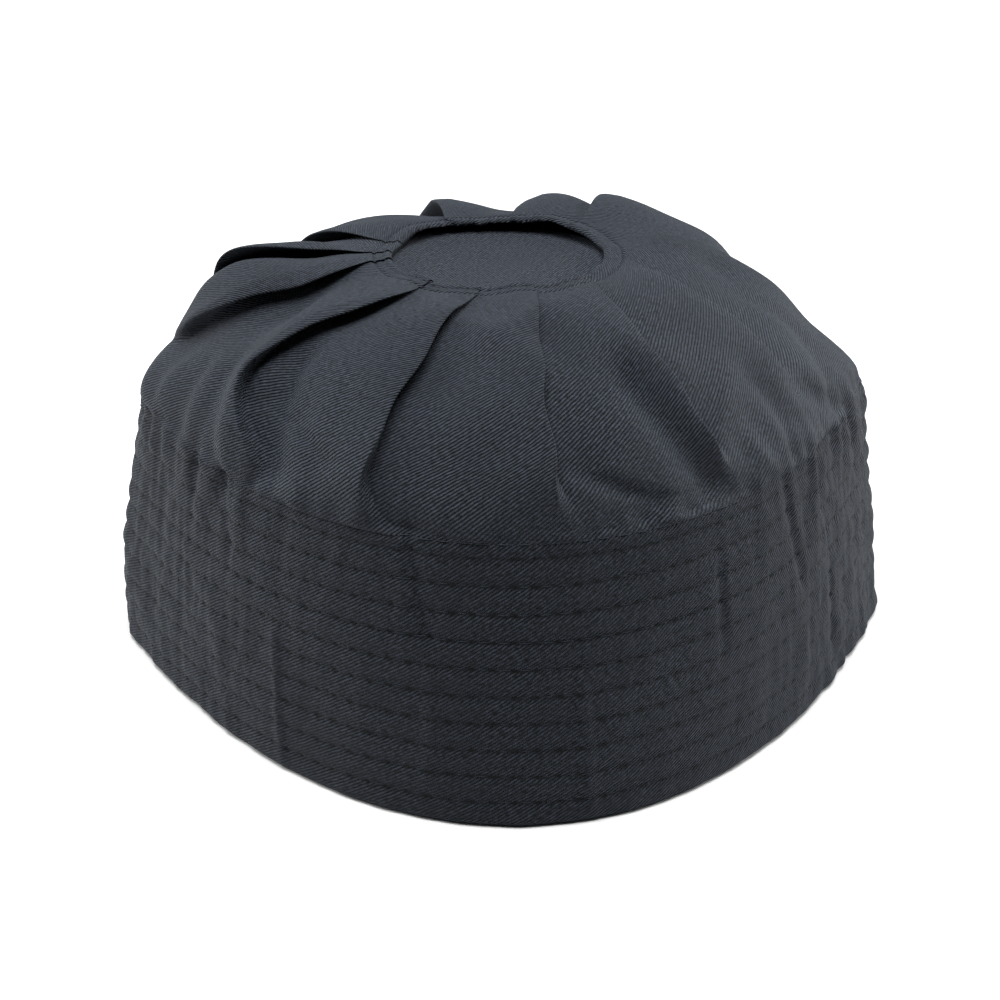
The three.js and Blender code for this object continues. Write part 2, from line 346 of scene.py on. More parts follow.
class CapCloth(bpy.types.PropertyGroup):
    """Weave and colours of the cloth"""

    # The band, the crown and the disc are one cloth: the band's darker colour is painted shade on its
    # upright face, the crown's and the disc's lighter colours painted light from above
    band_twill: bpy.props.FloatVectorProperty(
        name="Band colour", description="Twill of the band", default=(0.0083, 0.0102, 0.0142),
        size=3, subtype="COLOR",
    )
    crown_twill: bpy.props.FloatVectorProperty(
        name="Crown colour", description="Twill of the crown", default=(0.0122, 0.0147, 0.0200),
        size=3, subtype="COLOR",
    )
    disc_twill: bpy.props.FloatVectorProperty(
        name="Disc colour", description="Twill of the disc", default=(0.0100, 0.0121, 0.0166),
        size=3, subtype="COLOR",
    )
    thread: bpy.props.FloatVectorProperty(
        name="Thread colour", description="Sewing thread", default=(0.0125, 0.0155, 0.0215),
        size=3, subtype="COLOR",
    )
    rib: bpy.props.FloatProperty(
        name="Rib", description="From one twill rib to the next", default=0.00066, unit="LENGTH"
    )
    slope: bpy.props.FloatProperty(
        name="Slope", description="Rise of the ribs along the cloth", default=math.radians(33),
        subtype="ANGLE",
    )
    relief: bpy.props.FloatProperty(
        name="Relief", description="Height of a rib", default=0.00034, unit="LENGTH"
    )
    # Contrast of the painted light on the ribs' crests and the painted shade in their grooves, for
    # each piece
    band_contrast: bpy.props.FloatProperty(
        name="Band contrast", description="Of light and dark yarn in the band", default=2.3
    )
    crown_contrast: bpy.props.FloatProperty(
        name="Crown contrast", description="Of light and dark yarn in the crown", default=1.5
    )
    disc_contrast: bpy.props.FloatProperty(
        name="Disc contrast", description="Of light and dark yarn in the disc", default=2.8
    )
    roughness: bpy.props.FloatProperty(
        name="Roughness", description="Roughness of the yarn", default=0.72, subtype="FACTOR"
    )
    sheen: bpy.props.FloatProperty(
        name="Sheen", description="Fuzz of the yarn", default=0.06, subtype="FACTOR"
    )


class Field:
    """A node's socket that takes part in arithmetic: every operation adds a math node."""

    def __init__(self, graph, socket):
        self.graph = graph
        self.socket = socket

    def op(self, operation, *values):
        node = self.graph.node("ShaderNodeMath", {"operation": operation}, dict(enumerate(values)))
        return Field(self.graph, node.outputs[0])

    def __add__(self, other):
        return self.op("ADD", self, other)

    def __radd__(self, other):
        return self.op("ADD", other, self)

    def __sub__(self, other):
        return self.op("SUBTRACT", self, other)

    def __rsub__(self, other):
        return self.op("SUBTRACT", other, self)

    def __mul__(self, other):
        return self.op("MULTIPLY", self, other)

    def __rmul__(self, other):
        return self.op("MULTIPLY", other, self)

    def __truediv__(self, other):
        return self.op("DIVIDE", self, other)

    def __rtruediv__(self, other):
        return self.op("DIVIDE", other, self)

    def __pow__(self, other):
        return self.op("POWER", self, other)

    def __mod__(self, other):
        return self.op("MODULO", self, other)

    def __neg__(self):
        return self.op("MULTIPLY", self, -1.0)

    def sine(self):
        return self.op("SINE", self)

    def cosine(self):
        return self.op("COSINE", self)

    def root(self):
        return self.op("SQRT", self)

    def size(self):
        return self.op("ABSOLUTE", self)

    def exponential(self):
        return self.op("EXPONENT", self)

    def fraction(self):
        return self.op("FRACT", self)

    def least(self, other):
        return self.op("MINIMUM", self, other)

    def most(self, other):
        return self.op("MAXIMUM", self, other)

    def smooth(self, low, high):
        node = self.graph.node(
            "ShaderNodeMapRange",
            {"interpolation_type": "SMOOTHSTEP"},
            {"Value": self, "From Min": low, "From Max": high},
        )
        return Field(self.graph, node.outputs[0])

    def share(self, low, high):
        node = self.graph.node(
            "ShaderNodeMapRange", {}, {"Value": self, "From Min": low, "From Max": high}
        )
        return Field(self.graph, node.outputs[0])


class Graph:
    """A node tree, with one way to add a node and one to read its outputs."""

    def __init__(self, tree):
        self.tree = tree

    def node(self, kind, settings=None, inputs=None):
        made = self.tree.nodes.new(kind)
        for name, value in (settings or {}).items():
            setattr(made, name, value)
        for name, value in (inputs or {}).items():
            self.put(made.inputs[name], value)
        return made

    def put(self, socket, value):
        if isinstance(value, Field):
            value = value.socket
        if isinstance(value, bpy.types.NodeSocket):
            self.tree.links.new(value, socket)
        else:
            socket.default_value = value

    def field(self, node, output=0):
        return Field(self, node.outputs[output])

    def split(self, vector):
        node = self.node("ShaderNodeSeparateXYZ", {}, {0: vector})
        return [self.field(node, i) for i in range(3)]

    def vector(self, x, y, z):
        return self.field(self.node("ShaderNodeCombineXYZ", {}, {0: x, 1: y, 2: z}))

    def noise(self, vector, scale, detail=2.0):
        node = self.node(
            "ShaderNodeTexNoise", {}, {"Vector": vector, "Scale": scale, "Detail": detail}
        )
        return self.field(node)


def smooth(x, low, high):
    """A smooth step of numbers or of a field."""
    if isinstance(x, Field):
        return x.smooth(low, high)
    share = np.clip((x - low) / (high - low), 0, 1)
    return share * share * (3 - 2 * share)


def least(a, b):
    """The smaller of two numbers or of a field and a number."""
    return a.least(b) if isinstance(a, Field) else np.minimum(a, b)


def root(x):
    """The square root of numbers or of a field."""
    return x.root() if isinstance(x, Field) else np.sqrt(x)


def sine(x):
    """The sine of numbers or of a field, in radians."""
    return x.sine() if isinstance(x, Field) else np.sin(x)


def side_gathers(angle):
    """How far the small gathers push the ridge out at an angle in degrees, 0 to 720."""
    half = angle % 180
    near = 1 - smooth(least(half, 180 - half), GATHER_FULL, GATHER_REACH)
    turn = angle * math.radians(1)
    total = 0.0
    for row in GATHERS:
        bent = sine(turn * GATHER_BENDS + row["start"]) * row["swing"]
        total = total + sine(turn * row["waves"] + bent + row["start"]) * (row["out"] * MM)
    return total * near


def gather_spread(angle):
    """How far a gather runs at an angle, as a share of the average."""
    turn = angle * math.radians(1)
    total = 0.0
    for row in GATHER_SPREAD:
        total = total + sine(turn * row["waves"] + row["start"]) * row["size"]
    return total + 1


def plan_radius(angle, height, ridge):
    """Distance from the axis to the wall at an angle in degrees, 0 to 720, and a height."""
    half = angle % 180
    from_crease = least(half, 180 - half)
    past = root(from_crease * from_crease + CREASE_SOFT**2) - CREASE_SOFT
    full = math.hypot(WAIST_ANGLE, CREASE_SOFT) - CREASE_SOFT
    drawn_out = (1 - least(past / full, 1)) ** CREASE_POWER
    front = smooth(from_crease, WAIST_ANGLE, 90)
    share = height / ridge

    def level(plan):
        sides = (plan["side"] - plan["waist"]) * drawn_out
        return sides + (plan["front"] - plan["waist"]) * front + plan["waist"]

    rim = level(RIM_PLAN)
    return rim + (level(RIDGE_PLAN) - rim) * share


def row_pitch(sizes):
    """From one row to the next: one more row lies at the ridge, half a pitch higher."""
    return sizes.ridge_height / (sizes.rows + 0.5)


# Cloth and thread


def principled(name):
    """A new material, with its graph and its shader."""
    material = bpy.data.materials.new(name)
    material.use_nodes = True
    graph = Graph(material.node_tree)
    shader = material.node_tree.nodes["Principled BSDF"]
    return material, graph, shader


def twill(name, sizes, cloth, quilted=False):
    """Dark cotton twill: slanting ribs in the cloth's own measure, with painted light on their
    crests and painted shade in the grooves between them, a little fuzz, and for the quilted
    band painted shade in the needle holes and along the grooves of its rows."""
    material, graph, shader = principled(name)
    uv = graph.node("ShaderNodeUVMap", {"uv_map": "Cloth"})
    along, up, _ = graph.split(uv.outputs[0])
    across = (up * math.cos(cloth.slope) - along * math.sin(cloth.slope)) / cloth.rib
    down_rib = (along * math.cos(cloth.slope) + up * math.sin(cloth.slope)) / cloth.rib
    waver = graph.noise(uv.outputs[0], WEAVE["waver_scale"]) - 0.5
    phase = (across + waver * WEAVE["waver"]).fraction() * 2 - 1
    rib = 1 - phase * phase
    lengthwise = graph.vector(across, down_rib * WEAVE["yarn_run"], 0.0)
    yarn = graph.noise(lengthwise, 1.0, WEAVE["detail"])
    blotch = graph.noise(uv.outputs[0], WEAVE["blotch_scale"], WEAVE["detail"])
    # Painted shade and light: the grooves between the ribs are painted darker and their crests
    # lighter; the yarn noise is the yarn's own tone
    weave = rib * WEAVE["rib_gain"] + WEAVE["rib_floor"]
    weave = weave * (yarn * WEAVE["yarn_gain"] + WEAVE["yarn_floor"])
    # How strongly this piece's ribs are painted light and dark, raised on the band where the bump
    # alone shades them too little under light from below
    strength = getattr(cloth, name.replace("twill", "contrast"))
    # Patches of worn cloth in which the ribs' painted highlight and shade are stronger: partly wear,
    # partly painted sheen
    patchy = blotch * WEAVE["blotch_gain"] + WEAVE["blotch_floor"]
    tone = ((weave - 1) * patchy * strength + 1).most(WEAVE["darkest"])
    height = rib + yarn * WEAVE["yarn_height"]
    if quilted:
        pitch = row_pitch(sizes)
        share = up / pitch
        raised = (share - sizes.rows).most(0.0) + share
        off_row = ((raised + 0.5).fraction() - 0.5).size() * pitch
        off_hole = ((along / sizes.stitch + 0.5).fraction() - 0.5).size() * sizes.stitch
        spread = graph.noise(uv.outputs[0], NEEDLE["spread_scale"])
        spread = (spread * NEEDLE["spread_gain"] + NEEDLE["spread_floor"]).most(NEEDLE["least"])
        hole = (off_row * off_row + off_hole * off_hole * NEEDLE["oblong"]).root()
        around = smooth(hole, NEEDLE["core"], spread * NEEDLE["reach"])
        off_groove = smooth(off_row, 0.0, NEEDLE["groove"])
        # Painted shade in the needle holes and along the grooves of the rows, weaker at the top row
        lit = (around - 1) * NEEDLE["hole_shade_and_depth"] + 1
        shade = 1 - lit * ((off_groove - 1) * NEEDLE["groove_shade"] + 1)
        ridge = sizes.ridge_height
        tone = tone * (1 - shade * (1 - smooth(up, ridge - RIDGE_FADE, ridge) * (1 - RIDGE_DIP)))
        height = height + around * NEEDLE["hole_shade_and_depth"]
    colour = graph.node(
        "ShaderNodeMix",
        {"data_type": "RGBA", "blend_type": "MULTIPLY"},
        {"Factor": 1.0, "A": (*getattr(cloth, name), 1.0)},
    )
    grey = graph.node("ShaderNodeCombineColor", {}, {0: tone, 1: tone, 2: tone})
    graph.put(colour.inputs["B"], grey.outputs[0])
    bump = graph.node(
        "ShaderNodeBump",
        {},
        {"Strength": WEAVE["bump"], "Distance": cloth.relief, "Height": height},
    )
    graph.put(shader.inputs["Base Color"], colour.outputs["Result"])
    graph.put(shader.inputs["Normal"], bump.outputs[0])
    shader.inputs["Roughness"].default_value = cloth.roughness
    shader.inputs["Specular IOR Level"].default_value = SPECULAR["cloth"]
    shader.inputs["Sheen Weight"].default_value = cloth.sheen
    shader.inputs["Sheen Roughness"].default_value = SHEEN_ROUGHNESS
    shader.inputs["Sheen Tint"].default_value = SHEEN_TINT
    return material


def thread_material(cloth):
    """Sewing thread, a little lighter and smoother than the cloth."""
    material, _, shader = principled("thread")
    shader.inputs["Base Color"].default_value = (*cloth.thread, 1.0)
    shader.inputs["Roughness"].default_value = THREAD_ROUGHNESS
    shader.inputs["Specular IOR Level"].default_value = SPECULAR["thread"]
    return material


# Geometry node trees


def node_object(name, tree, values, source=None):
    """An object made by a node tree from its named inputs, turned into a plain mesh."""
    start = source or bpy.data.meshes.new(name + "_start")
    holder = bpy.data.objects.new(name + "_nodes", start)
    bpy.context.scene.collection.objects.link(holder)
    modifier = holder.modifiers.new("nodes", "NODES")
    modifier.node_group = tree
    for item in tree.interface.items_tree:
        if item.item_type == "SOCKET" and item.in_out == "INPUT" and item.name in values:
            modifier[item.identifier] = values[item.name]
    bpy.context.view_layer.update()
    depsgraph = bpy.context.evaluated_depsgraph_get()
    mesh = bpy.data.meshes.new_from_object(holder.evaluated_get(depsgraph))
    holder.modifiers.clear()
    bpy.data.objects.remove(holder)
    mesh.name = name
    return mesh_object(name, mesh)


def mesh_object(name, mesh):
    """Puts a mesh into the scene as an object."""
    made = bpy.data.objects.new(name, mesh)
    bpy.context.scene.collection.objects.link(made)
    return made


def geometry_graph(name, inputs):
    """A new geometry node tree with named inputs; returns its graph and their fields."""
    tree = bpy.data.node_groups.new(name, "GeometryNodeTree")
    tree.interface.new_socket("Geometry", in_out="OUTPUT", socket_type="NodeSocketGeometry")
    for label, kind in inputs.items():
        tree.interface.new_socket(label, in_out="INPUT", socket_type="NodeSocket" + kind)
    graph = Graph(tree)
    source = graph.node("NodeGroupInput")
    return graph, {label: graph.field(source, label) for label in inputs}


def finish_graph(graph, geometry, material):
    """Ends a tree: real geometry with its material."""
    real = graph.node("GeometryNodeRealizeInstances", {}, {"Geometry": geometry})
    painted = graph.node(
        "GeometryNodeSetMaterial", {}, {"Geometry": real.outputs[0], "Material": material}
    )
    end = graph.node("NodeGroupOutput")
    graph.put(end.inputs["Geometry"], painted.outputs[0])
    return graph.tree


def wall_relief(graph, angle, height, inputs):
    """How far quilting, puckers and creases push the band's outer face out."""
    share = height / inputs["Row Pitch"]
    raised = (share - inputs["Rows"]).most(0.0) + share
    puff = (raised * math.pi).sine().size() ** QUILT["puff_power"]
    place = polar_field(graph, QUILT["ring"], angle, height)
    upright = polar_field(graph, QUILT["ring"], angle, height * QUILT["upright"])
    half = angle % 180
    sides = 1 - smooth(half.least(180 - half), *QUILT_SIDES)
    puckers = graph.noise(upright, QUILT["pucker_scale"]) - 0.5
    puckers = puckers * (sides * QUILT["pucker_sides"] + QUILT["pucker"]) * MM
    dents = graph.noise(place, QUILT["dent_scale"]) - 0.5
    dents = dents * (sides * QUILT["dent_sides"] + QUILT["dent"]) * MM
    ridge = inputs["Ridge Height"]
    loose = 1 - smooth(height, *(ridge - below for below in QUILT_HELD))
    dip = inputs["Row Dip"] * (1 - smooth(height, ridge - RIDGE_FADE, ridge) * (1 - RIDGE_DIP))
    on_row = QUILT["on_row"]
    relief = (puckers * (puff * (1 - on_row) + on_row) + dents) * loose + (puff - 1.0) * dip
    drop = GATHER_DROP * gather_spread(angle)
    relief = relief + side_gathers(angle) * smooth(height, ridge - drop, ridge)
    for crease in CREASES:
        top, bottom = crease["top"] * MM, crease["bottom"] * MM
        run = height.share(top, bottom)
        middle = run * (crease["angle_to"] - crease["angle"]) + crease["angle"]
        off = (angle - middle) / crease["wide"]
        ends = smooth(height, bottom - CREASE_TAPER, bottom + CREASE_TAPER)
        if crease["top"] < RIDGE_TOP:
            ends = ends * (1 - smooth(height, top - CREASE_TAPER, top + CREASE_TAPER))
        relief = relief + (-(off * off)).exponential() * ends * (crease["out"] * MM)
    return relief


def wall_radius(angle, height, inputs):
    """The band's outer face without its relief."""
    ridge = inputs["Ridge Height"]
    bow = height * (ridge - height) / (ridge * ridge) * 4 * inputs["Bow"]
    return plan_radius(angle, height, ridge) + bow


def polar_field(graph, radius, angle, height):
    """A place in space from its radius, its angle in degrees and its height."""
    turn = angle * math.radians(1)
    return graph.vector(radius * turn.cosine(), radius * turn.sine(), height)


WALL_INPUTS = {
    "Ridge Height": "Float",
    "Bow": "Float",
    "Row Pitch": "Float",
    "Row Dip": "Float",
    "Rows": "Int",
    "Material": "Material",
}


def wall_values(sizes, material):
    """The inputs that the band and its stitches have in common."""
    return {
        "Ridge Height": sizes.ridge_height,
        "Bow": sizes.band_bow,
        "Row Pitch": row_pitch(sizes),
        "Row Dip": sizes.row_dip,
        "Rows": sizes.rows,
        "Material": material,
    }


def unit_grid(graph, columns, rows):
    """A grid of points, with its shares of the way across and up, from 0 to 1."""
    grid = graph.node(
        "GeometryNodeMeshGrid",
        {},
        {"Size X": 1.0, "Size Y": 1.0, "Vertices X": columns, "Vertices Y": rows},
    )
    x, y, _ = graph.split(graph.node("GeometryNodeInputPosition").outputs[0])
    return grid, x + 0.5, y + 0.5


def band_tree():
    """The quilted band: up its outer face, over the ridge, down inside and back along the rim."""
    graph, inputs = geometry_graph(
        "Quilted band",
        {**WALL_INPUTS, "Columns": "Int", "Profile Rows": "Int", "Wall": "Float", "Girth": "Float"},
    )
    steps = sum(BAND_ROWS.values())
    grid, round_share, profile = unit_grid(graph, inputs["Columns"] + 1, inputs["Profile Rows"])
    ridge_at = BAND_ROWS["outer"] / steps
    inside_at = (BAND_ROWS["outer"] + BAND_ROWS["inner"]) / steps
    up = profile.share(0.0, ridge_at)
    down = profile.share(ridge_at, inside_at)
    back = profile.share(inside_at, 1.0)
    ridge = inputs["Ridge Height"]
    fallen = down * down
    height = (up - fallen) * ridge
    angle = round_share * 360
    outer = 1 - (down * BAND_ROWS["inner"]).least(1.0) * (1 - back)
    rim_round = (1 - smooth(height, 0.0, RIM_TURN["tall"])) * RIM_TURN["inward"]
    relief = wall_relief(graph, angle, height, inputs) * outer
    inset = inputs["Wall"] * (1 - outer) + rim_round * outer
    radius = wall_radius(angle, height, inputs) + relief - inset
    cloth = graph.vector(round_share * inputs["Girth"], (up + fallen) * ridge, 0.0)
    mapped = graph.node(
        "GeometryNodeStoreNamedAttribute",
        {"data_type": "FLOAT2", "domain": "CORNER"},
        {"Geometry": grid.outputs["Mesh"], "Name": "Cloth", "Value": cloth},
    )
    placed = graph.node(
        "GeometryNodeSetPosition",
        {},
        {
            "Geometry": mapped.outputs[0],
            "Position": polar_field(graph, radius, angle, height),
        },
    )
    welded = graph.node(
        "GeometryNodeMergeByDistance", {}, {"Geometry": placed.outputs[0], "Distance": 1e-6}
    )
    smoothed = graph.node("GeometryNodeSetShadeSmooth", {}, {"Geometry": welded.outputs[0]})
    return finish_graph(graph, smoothed.outputs[0], inputs["Material"])


def stitch_node(graph, length, thread):
    """One stitch along Z: a short length of thread, thinner at its ends."""
    tube = graph.node(
        "GeometryNodeMeshCylinder",
        {"fill_type": "TRIANGLE_FAN"},
        {
            "Vertices": STITCH["sides"],
            "Side Segments": STITCH["segments"],
            "Radius": 1.0,
            "Depth": 1.0,
        },
    )
    x, y, z = graph.split(graph.node("GeometryNodeInputPosition").outputs[0])
    end = (z * 2) ** 2.0
    radius = (1 - end * STITCH["taper"]) * thread * 0.5
    place = graph.vector(x * radius - end * thread * STITCH["dive"], y * radius, z * length)
    shaped = graph.node(
        "GeometryNodeSetPosition", {}, {"Geometry": tube.outputs["Mesh"], "Position": place}
    )
    return graph.node("GeometryNodeSetShadeSmooth", {}, {"Geometry": shaped.outputs[0]})


def stitch_turn(graph, along, outward):
    """The rotation that lays a stitch along a line with its back to the cloth."""
    laid = graph.node("FunctionNodeAlignRotationToVector", {"axis": "Z"}, {"Vector": along})
    return graph.node(
        "FunctionNodeAlignRotationToVector",
        {"axis": "X", "pivot_axis": "Z"},
        {"Rotation": laid.outputs[0], "Vector": outward},
    )


def row_stitch_tree():
    """Stitches along the band's rows, one more row of them at the ridge."""
    graph, inputs = geometry_graph(
        "Row stitches",
        {**WALL_INPUTS, "Stitches": "Int", "Stitch": "Float", "Thread": "Float"},
    )
    grid, round_share, row_share = unit_grid(graph, inputs["Stitches"] + 1, inputs["Rows"] + 1)
    step = 360 / inputs["Stitches"]
    angle = round_share * 360 + step * 0.5
    row = row_share * inputs["Rows"] + 1
    over = (row - inputs["Rows"]).most(0.0)
    height = (row - over * 0.5) * inputs["Row Pitch"]

    def on_wall(at):
        relief = wall_relief(graph, at, height, inputs) + inputs["Thread"] * 0.5
        return polar_field(graph, wall_radius(at, height, inputs) + relief, at, height)

    here = on_wall(angle)
    ahead = on_wall(angle + STITCH_AHEAD)
    tangent = graph.node("ShaderNodeVectorMath", {"operation": "SUBTRACT"}, {0: ahead, 1: here})
    outward = polar_field(graph, 1.0, angle, 0.0)
    facing = stitch_turn(graph, tangent.outputs[0], outward)
    once = {"A": round_share, "B": LAST_SHARE}
    keep = graph.node("FunctionNodeCompare", {"operation": "LESS_THAN"}, once)
    captured = graph.node("GeometryNodeCaptureAttribute", {"domain": "POINT"})
    captured.capture_items.new("ROTATION", "Turn")
    graph.put(captured.inputs["Geometry"], grid.outputs["Mesh"])
    graph.put(captured.inputs["Turn"], facing.outputs[0])
    points = graph.node(
        "GeometryNodeMeshToPoints",
        {},
        {"Mesh": captured.outputs["Geometry"], "Selection": keep.outputs[0], "Position": here},
    )
    size = graph.node(
        "FunctionNodeRandomValue",
        {"data_type": "FLOAT"},
        {"Min": STITCH["least"], "Max": STITCH["most"], "Seed": SEED},
    )
    stitch = stitch_node(graph, inputs["Stitch"], inputs["Thread"])
    made = graph.node(
        "GeometryNodeInstanceOnPoints",
        {},
        {
            "Points": points.outputs[0],
            "Instance": stitch.outputs[0],
            "Rotation": captured.outputs["Turn"],
            "Scale": graph.vector(1.0, 1.0, graph.field(size, "Value")),
        },
    )
    return finish_graph(graph, made.outputs[0], inputs["Material"])


def line_stitch_tree():
    """Stitches one after the other along the lines of a mesh of edges."""
    graph, inputs = geometry_graph(
        "Line stitches",
        {"Line": "Geometry", "Stitch": "Float", "Thread": "Float", "Material": "Material"},
    )
    curve = graph.node("GeometryNodeMeshToCurve", {}, {"Mesh": inputs["Line"]})
    points = graph.node(
        "GeometryNodeCurveToPoints",
        {"mode": "LENGTH"},
        {"Curve": curve.outputs[0], "Length": inputs["Stitch"]},
    )
    stitch = stitch_node(graph, inputs["Stitch"] * STITCH["hem"], inputs["Thread"])
    facing = stitch_turn(graph, points.outputs["Tangent"], (0.0, 0.0, 1.0))
    made = graph.node(
        "GeometryNodeInstanceOnPoints",
        {},
        {
            "Points": points.outputs["Points"],
            "Instance": stitch.outputs[0],
            "Rotation": facing.outputs[0],
        },
    )
    return finish_graph(graph, made.outputs[0], inputs["Material"])


# The crown


def pleat_rows(rise):
    """Lip angle, closing, lip height and pocket depth of every pleat at each rise."""
    column = {key: np.array([pleat[key] for pleat in PLEATS], float) for key in PLEATS[0]}
    rise = rise[:, None]
    angle = 0.0
    for key, at in LIP_RISES.items():
        weight = 1.0
        for other in LIP_RISES.values():
            if other != at:
                weight = weight * (rise - other) / (at - other)
        angle = angle + column[key] * weight
    rng = np.random.default_rng(SEED + 2)
    waves = rng.uniform(*LIP_WAVES, len(PLEATS))
    start = rng.uniform(0, 2 * np.pi, len(PLEATS))
    sway = np.sin(2 * np.pi * waves * rise + start) * np.sin(np.pi * rise)
    angle = angle + LIP_SWAY * sway
    shut = np.maximum((column["foot"] + PLEAT_SET) / 2, column["foot"] + PLEAT_RUN)
    closing = smooth(rise, column["foot"], shut)
    lip = column["lip"] * MM * closing * (1 - PRESSED * smooth(rise, PRESSED_FROM, 1.0))
    pocket = column["pocket"] * MM * closing * (1 - smooth(rise, POCKET_END, 1.0))
    return angle, closing, lip, pocket


def apart(angle, other):
    """Degrees from another angle to this one, from -180 to 180."""
    return (angle - other + 540) % 360 - 180


def swell(angle, rise):
    """How far the broad swells and soft folds push the crown out."""
    total = np.zeros(np.broadcast(angle, rise).shape)
    for row in SWELLS:
        off = apart(angle, row["angle"]) / row["wide"]
        up = (rise - row["rise"]) / row["tall"]
        total += row["out"] * MM * np.exp(-off * off - up * up)
    for row in FOLDS:
        along = np.clip((rise - row["rise"]) / (row["rise_to"] - row["rise"]), 0, 1)
        middle = row["angle"] + (row["angle_to"] - row["angle"]) * along
        off = apart(angle, middle) / row["wide"]
        past = (rise - row["rise"] - (row["rise_to"] - row["rise"]) * along) / FOLD_TAPER
        total += row["out"] * MM * np.exp(-off * off - past * past) * smooth(rise, 0.0, FOLD_FOOT)
    return total


def gathers(angle, rise):
    """Small upright puckers above the top row of stitching, and a slight unevenness all over."""
    rng = np.random.default_rng(SEED)
    turn = np.radians(angle)
    total = np.zeros(np.broadcast(angle, rise).shape)
    for row in PUCKERS:
        start, lean, swing = rng.uniform(0, 2 * np.pi, 3)
        vary = np.sin(PUCKER_FADE["waves"] * turn + swing)
        fade = np.exp(-((rise / (PUCKER_FADE["rise"] + PUCKER_FADE["vary"] * vary)) ** 2))
        bent = PUCKER_FADE["lean"] * rise * np.sin(lean)
        wave = np.sin(row["waves"] * turn + start + bent)
        total += row["size"] * MM * wave * fade * smooth(rise, 0.0, PUCKER_FADE["foot"])
    for row in UNEVEN:
        start, lean, swing = rng.uniform(0, 2 * np.pi, 3)
        bent = np.sin(row["tall"] * rise + lean) * UNEVEN_SWING
        wave = np.sin(row["waves"] * turn + start + bent)
        total += row["size"] * MM * wave * np.sin(row["tall"] * rise + swing)
    return total


def crumple(angle, rise):
    """Short soft dents and folds scattered over the crown, at random but always the same."""
    rng = np.random.default_rng(SEED + 1)
    total = np.zeros(np.broadcast(angle, rise).shape)
    radius = RIDGE_PLAN["waist"] * (1 - CROWN_TAPER * rise)
    for _ in range(CRUMPLES):
        at, up, way, wide, long, out = rng.uniform(0, 1, 6)
        off = np.radians(apart(angle, at * 360)) * radius / MM
        climb = (rise - up * up * CRUMPLE["top"]) * CROWN_CLIMB / MM
        lean = (way - 0.5) * CRUMPLE["lean"]
        across = off * np.cos(lean) - climb * np.sin(lean)
        along = off * np.sin(lean) + climb * np.cos(lean)
        across = across / (CRUMPLE["narrow"] + CRUMPLE["wider"] * wide)
        along = along / (CRUMPLE["short"] + CRUMPLE["longer"] * long)
        total += (out - 0.5) * CRUMPLE_OUT * np.exp(-across * across - along * along)
    return total * smooth(rise, 0.0, CRUMPLE_FOOT)


def unevenness(angle, rise):
    """How far swells, folds, puckers and dents together push the crown out."""
    return swell(angle, rise) + gathers(angle, rise) + crumple(angle, rise)


def ridge_creases(angle, rise):
    """How far the band's creases that run on into the crown push it out."""
    total = np.zeros(np.broadcast(angle, rise).shape)
    for row in CREASES:
        if row["top"] >= RIDGE_TOP:
            off = apart(angle, row["angle"]) / row["wide"]
            total += row["out"] * MM * np.exp(-off * off - (rise / CREASE_RISE) ** 2)
    reach = GATHER_RISE * gather_spread(angle)
    return total + side_gathers(angle) * np.exp(-((rise / reach) ** 2))


def hem_lift(angle):
    """The hem stands up at the back, away from the disc."""
    return HEM_LIFT * np.exp(-(((angle - HEM_LIFT_ANGLE) / HEM_LIFT_WIDE) ** 2))


def dome_point(sizes, angle, rise, out):
    """A point of the crown's dome, moved out along its slope."""
    turn = rise * np.pi / 2
    inward = np.cos(turn) ** (2 / sizes.dome_power)
    upward = np.sin(turn) ** (2 / sizes.dome_power)
    seam = sizes.hem_radius + sizes.hem_width
    foot = plan_radius(angle, sizes.ridge_height, sizes.ridge_height)
    low = sizes.ridge_height - 2 * LAP
    top = hem_height(sizes, seam, angle)
    radius = seam + (foot - seam) * inward + out * np.cos(turn)
    height = low + (top - low) * upward + out * np.sin(turn)
    return polar_points(sizes, radius, angle, height, rise)


def hem_height(sizes, radius, angle):
    """Height of the sloping hem at a radius and an angle."""
    return sizes.hem_height - radius * np.sin(np.radians(angle)) * math.tan(sizes.disc_tilt)


def hem_relief(share):
    """The rolled inner edge of the hem and the groove of its topstitching."""
    roll = HEM_ROLL * np.exp(-(((share - ROLL_AT) / ROLL_WIDE) ** 2))
    return roll - HEM_GROOVE * np.exp(-(((share - TOPSTITCH_AT) / GROOVE_WIDE) ** 2))


def polar_points(sizes, radius, angle, height, shift):
    """Points round an axis that leans towards the disc's centre by a share."""
    turn = np.radians(angle)
    x = radius * np.cos(turn) + sizes.disc_centre[0] * shift
    y = radius * np.sin(turn) + sizes.disc_centre[1] * shift
    return np.stack(np.broadcast_arrays(x, y, height), -1)


